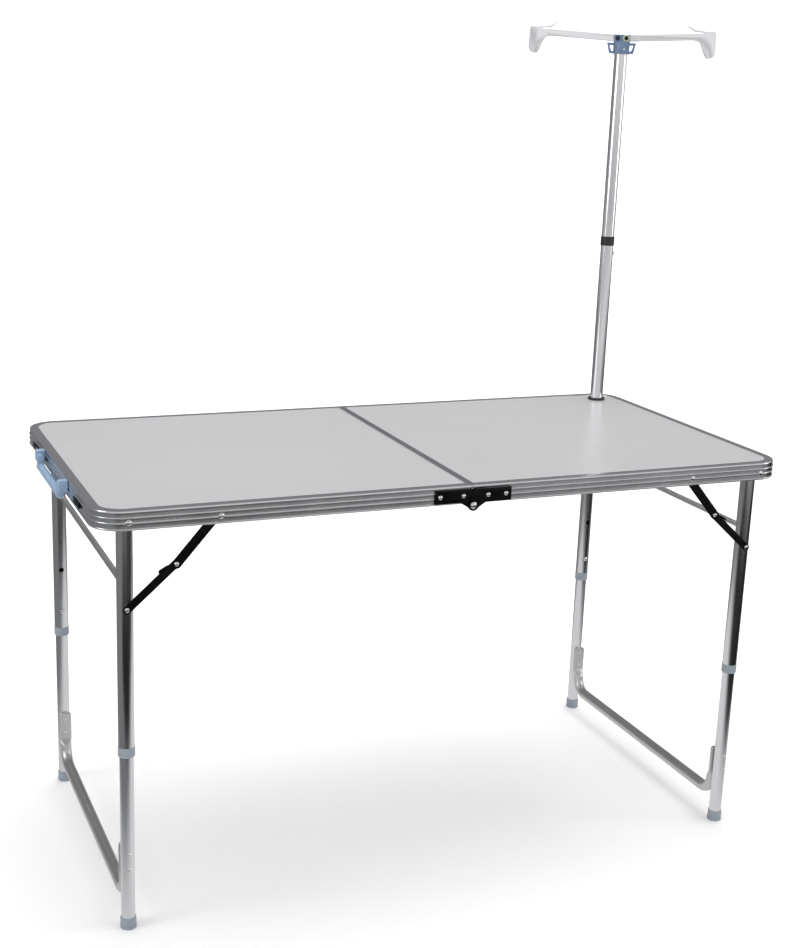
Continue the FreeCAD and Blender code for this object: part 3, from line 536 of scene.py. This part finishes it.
upper_leg_radius = 0.0125
collar_mouth = (0.0115, 0.0004)
collar_edge = 0.0012
collar_top_edge = 0.0006
collar_top_inset = 0.0007
collar_ring = np.array([(0.0001, 0.0052), (0.0005, 0.0056), (0.0005, 0.0062), (0.0001, 0.0066)])
collar_bore = 0.0113
collar_step = 0.003
sole = [(0.0, 0.0008), (0.0062, 0.0008), (0.0068, 0.0)]
foot_edge = 0.0014
foot_ring = np.array([(0.0002, 0.0048), (0.0008, 0.0054), (0.0008, 0.0062), (0.0003, 0.0068)])
foot_top_edge = 0.0012
foot_top_inset = 0.0018
foot_bore = 0.011
foot_floor = 0.003


def collar_profile(outer, base, top):
    """Closed section: rounded bottom edge, a groove, rounded top edge, and a bore that steps in."""
    return np.concatenate([
        [(collar_mouth[0], base + collar_mouth[1])],
        arc((outer - collar_edge, base + collar_edge), collar_edge, -90, 0, 6),
        ringed(outer, base, collar_ring),
        arc((outer - collar_top_inset, top - collar_top_inset), collar_top_edge, 0, 90, 4),
        [(upper_leg_radius, top), (upper_leg_radius, base + collar_step), (collar_bore, base + collar_step)]])


def foot_profile(outer, top):
    """Closed section: hollowed sole, rounded bottom edge, a groove, rounded top edge, and a cup."""
    return np.concatenate([
        sole, arc((outer - foot_edge, foot_edge), foot_edge, -90, 0, 6), ringed(outer, 0.0, foot_ring),
        arc((outer - foot_top_inset, top - foot_top_edge), foot_top_edge, 0, 90, 5),
        [(foot_bore, top), (foot_bore, foot_floor), (0.0, foot_floor)]])


for end in ends:
    for row in ("front", "rear"):
        leg_low, leg_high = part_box(f"{row}_{end}_lower_leg")
        leg_centre = ((leg_low[0] + leg_high[0]) / 2, (leg_low[1] + leg_high[1]) / 2)
        low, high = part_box(f"{end}_leg_collars")
        profile = collar_profile((high[0] - low[0]) / 2, low[2], high[2])
        ring = lathe(f"{row}_{end}_collar", profile, leg_centre)
        stands_for = (f"{end}_leg_collars",) if row == "front" else ()
        finish_piece(ring, grey_plastic, f"{end}_legs", "grey_plastic", *stands_for)
        low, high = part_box(f"{end}_feet")
        profile = foot_profile((high[0] - low[0]) / 2, high[2])
        cap = lathe(f"{row}_{end}_foot", profile, leg_centre)
        stands_for = (f"{end}_feet",) if row == "front" else ()
        finish_piece(cap, grey_plastic, f"{end}_lower_legs", "grey_plastic", *stands_for)

# ---- Hinge plates, braces and latches ----
# Stamped steel strip in black enamel, with the rounded edges that stamping and paint leave. The
# plates are riveted to the rims. The braces and hooks turn on rivets and pins.
enamel, shader, place = new_material("black_enamel", (0.004, 0.004, 0.004), 0.35,
                                     Specular_IOR_Level=0.12)
orange_peel = noise(place, 700, detail=2)
rubbed = noise(place, 130, detail=6, roughness=0.7)
worn = band(rubbed, 0.62, 0.74)
feed(shader, "Base Color", tint(worn, (0.0025, 0.0025, 0.003), (0.02, 0.02, 0.021)))
feed(shader, "Roughness", rubbed * 0.25 + 0.2)
bump(shader, orange_peel, 0.00005, 0.4)


def softened(node, body, slot, material, width):
    """Copy of a CAD piece whose sharp edges get a small rounding of the given width."""
    mesh = nodes[node].data.copy()
    mesh.name = f"{node}_soft"
    mesh.materials.clear()
    work = bmesh.new()
    work.from_mesh(mesh)
    bmesh.ops.remove_doubles(work, verts=work.verts, dist=2e-6)
    bmesh.ops.dissolve_limit(work, angle_limit=math.radians(0.5),
                             verts=work.verts, edges=work.edges)
    work.to_mesh(mesh)
    work.free()
    mesh.polygons.foreach_set("use_smooth", [True] * len(mesh.polygons))
    piece = bpy.data.objects.new(f"{node}_soft", mesh)
    bpy.context.scene.collection.objects.link(piece)
    edge = piece.modifiers.new("edge", "BEVEL")
    edge.width = width
    edge.segments = 3
    edge.limit_method = "ANGLE"
    edge.angle_limit = math.radians(38)
    edge.harden_normals = True
    finish_piece(piece, material, body, slot, node)


for end in ends:
    softened(f"{end}_hinge_plates", f"{end}_half", "black_steel", enamel, 0.0004)
    softened(f"{end}_brace_upper", f"{end}_brace_upper_arm", "black_steel", enamel, 0.0004)
    softened(f"{end}_brace_lower", f"{end}_brace_lower_arm", "black_steel", enamel, 0.0004)
for row in ("front", "rear"):
    softened(f"{row}_latch_hook", f"{row}_latch", "black_steel", enamel, 0.0003)

# ---- Rivets, pins and snap clips ----
# Rivets with domed heads close the hinge plates, legs, braces and stretchers, pins turn in the
# hinges, and bent spring strips carry the snap buttons. All are bright zinc-plated steel.
steel, shader, place = new_material("rivet_steel", (0.75, 0.75, 0.76), 0.2, 1.0)
blush = noise(place, 300, detail=4)
feed(shader, "Roughness", blush * 0.2 + 0.12)
feed(shader, "Base Color", tint(blush, (0.62, 0.62, 0.63), (0.82, 0.82, 0.82)))
dress(steel, "hinge_pins", "pole_snap_clip")
for end in ends:
    dress(steel, f"{end}_hinge_rivets", f"{end}_rim_rivets", f"{end}_stretcher_rivets",
          f"{end}_brace_leg_rivet", f"{end}_brace_elbow_rivet",
          f"front_{end}_snap_clip", f"rear_{end}_snap_clip")

# ---- Hub screws and rivet ----
# Two blackened steel screws hold the arms, above one small bright rivet through the hub's
# sleeve. The screws lie above the line and the rivet below it.
hardware, shader, place = new_material("hub_hardware", (0.1, 0.1, 0.1), 0.35, 1.0)
upright = place.node("ShaderNodeSeparateXYZ", {}, {"Vector": place}, out="Z")
screw_line = 1.39
above = band(upright, screw_line, screw_line + 0.0002)
feed(shader, "Base Color", tint(above, (0.8, 0.8, 0.8), (0.05, 0.05, 0.05)))
feed(shader, "Roughness", noise(place, 300) * 0.2 + 0.22)
dress(hardware, "pole_hub_fasteners")

# ---- Handle and hub ----
# Blue-grey moulded plastic. The handle turns in two brackets on the left rim and is a little
# paler. The hub is a sleeve with two side loops, fixed on the pole's top.
blue_plastic, shader, place = new_material("blue_plastic", (0.15, 0.24, 0.39), 0.42)
scuff = noise(place, 70, detail=5)
feed(shader, "Base Color", tint(scuff, (0.105, 0.165, 0.265), (0.15, 0.225, 0.34)))
feed(shader, "Roughness", scuff * 0.2 + 0.33)
bump(shader, noise(place, 1500, detail=2), 0.00004, 0.5)
pale_blue, shader, place = new_material("handle_plastic", (0.25, 0.36, 0.49), 0.42)
scuff = noise(place, 70, detail=5)
feed(shader, "Base Color", tint(scuff, (0.215, 0.315, 0.44), (0.275, 0.385, 0.52)))
feed(shader, "Roughness", scuff * 0.2 + 0.33)
bump(shader, noise(place, 1500, detail=2), 0.00004, 0.5)
softened("handle_brackets", "left_half", "blue_plastic", pale_blue, 0.0008)
softened("handle_grip", "handle", "blue_plastic", pale_blue, 0.0008)
softened("pole_hub", "pole_upper", "blue_plastic", blue_plastic, 0.0005)

# ---- Screw washer on the hub ----
# A pale plastic washer sits under the right-hand screw. It is pressed on over the head.
washer_plastic, shader, place = new_material("washer_plastic", (0.60, 0.72, 0.38), 0.45)
feed(shader, "Base Color", tint(noise(place, 400), (0.56, 0.68, 0.34), (0.68, 0.78, 0.46)))
feed(shader, "Roughness", noise(place, 900) * 0.2 + 0.35)
hub_yaw = math.radians(-30)
arm_screw_height = 1.3995
arm_screw_offset = 0.0083
hub_front = 0.012


def screw_washer():
    """Ring turned about the right-hand screw's axis. Its section is a band with bevelled edges
    that stands out of the hub's front face."""
    low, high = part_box("pole_upper_tube")
    side = np.array([math.cos(hub_yaw), math.sin(hub_yaw), 0.0])
    forward = np.array([math.sin(hub_yaw), -math.cos(hub_yaw), 0.0])
    axis = np.array([(low[0] + high[0]) / 2, (low[1] + high[1]) / 2, arm_screw_height])
    centre = axis + side * arm_screw_offset + forward * hub_front
    turn = np.linspace(0, 2 * math.pi, 48, endpoint=False)
    around = np.cos(turn)[:, None] * side + np.sin(turn)[:, None] * np.array([0.0, 0.0, 1.0])
    section = np.array([(0.0043, 0.0), (0.0043, 0.0012), (0.0048, 0.0017), (0.0055, 0.0017),
                        (0.0060, 0.0012), (0.0061, 0.0)])
    points = centre + around[:, None] * section[None, :, :1] + forward * section[None, :, 1:]
    return grid_mesh("hub_screw_washer", points, close_u=True, close_v=True)


finish_piece(screw_washer(), washer_plastic, "pole_upper", "blue_plastic")

# ---- Black mouldings ----
# The pole's joint collar, its socket in the board and the plug in its foot are moulded in black
# plastic. Bushes of white nylon keep the legs and braces clear of the rims.
black_plastic, shader, place = new_material("black_plastic", (0.012, 0.012, 0.013), 0.4)
scuff = noise(place, 90, detail=5)
feed(shader, "Base Color", tint(scuff, (0.009, 0.009, 0.01), (0.022, 0.022, 0.024)))
feed(shader, "Roughness", scuff * 0.25 + 0.28)
bump(shader, noise(place, 1500, detail=2), 0.00004, 0.5)
dress(black_plastic, "pole_collar", "pole_socket", "pole_foot_plug")
nylon, shader, place = new_material("nylon", (0.7, 0.7, 0.68), 0.5)
feed(shader, "Roughness", noise(place, 200) * 0.2 + 0.4)
dress(nylon, "left_leg_spacers", "right_leg_spacers")

# ---- Hanger arms ----
# Satin aluminium arms with a hanging lobe at the end and a thin spring tongue on top. Each one
# turns on a screw in the hub.
satin, shader, place = new_material("satin_arm", (0.9, 0.91, 0.93), 0.3, 1.0)
brushed = noise(place, 500, (0.2, 0.2, 1), detail=4)
feed(shader, "Roughness", brushed * 0.12 + 0.16)
feed(shader, "Base Color", tint(noise(place, 30), (0.90, 0.91, 0.925), (0.97, 0.975, 0.985)))
bump(shader, brushed, 0.00002, 0.4)
for end in ends:
    softened(f"pole_arm_{end}", f"{end}_arm", "arm_aluminium", satin, 0.003)
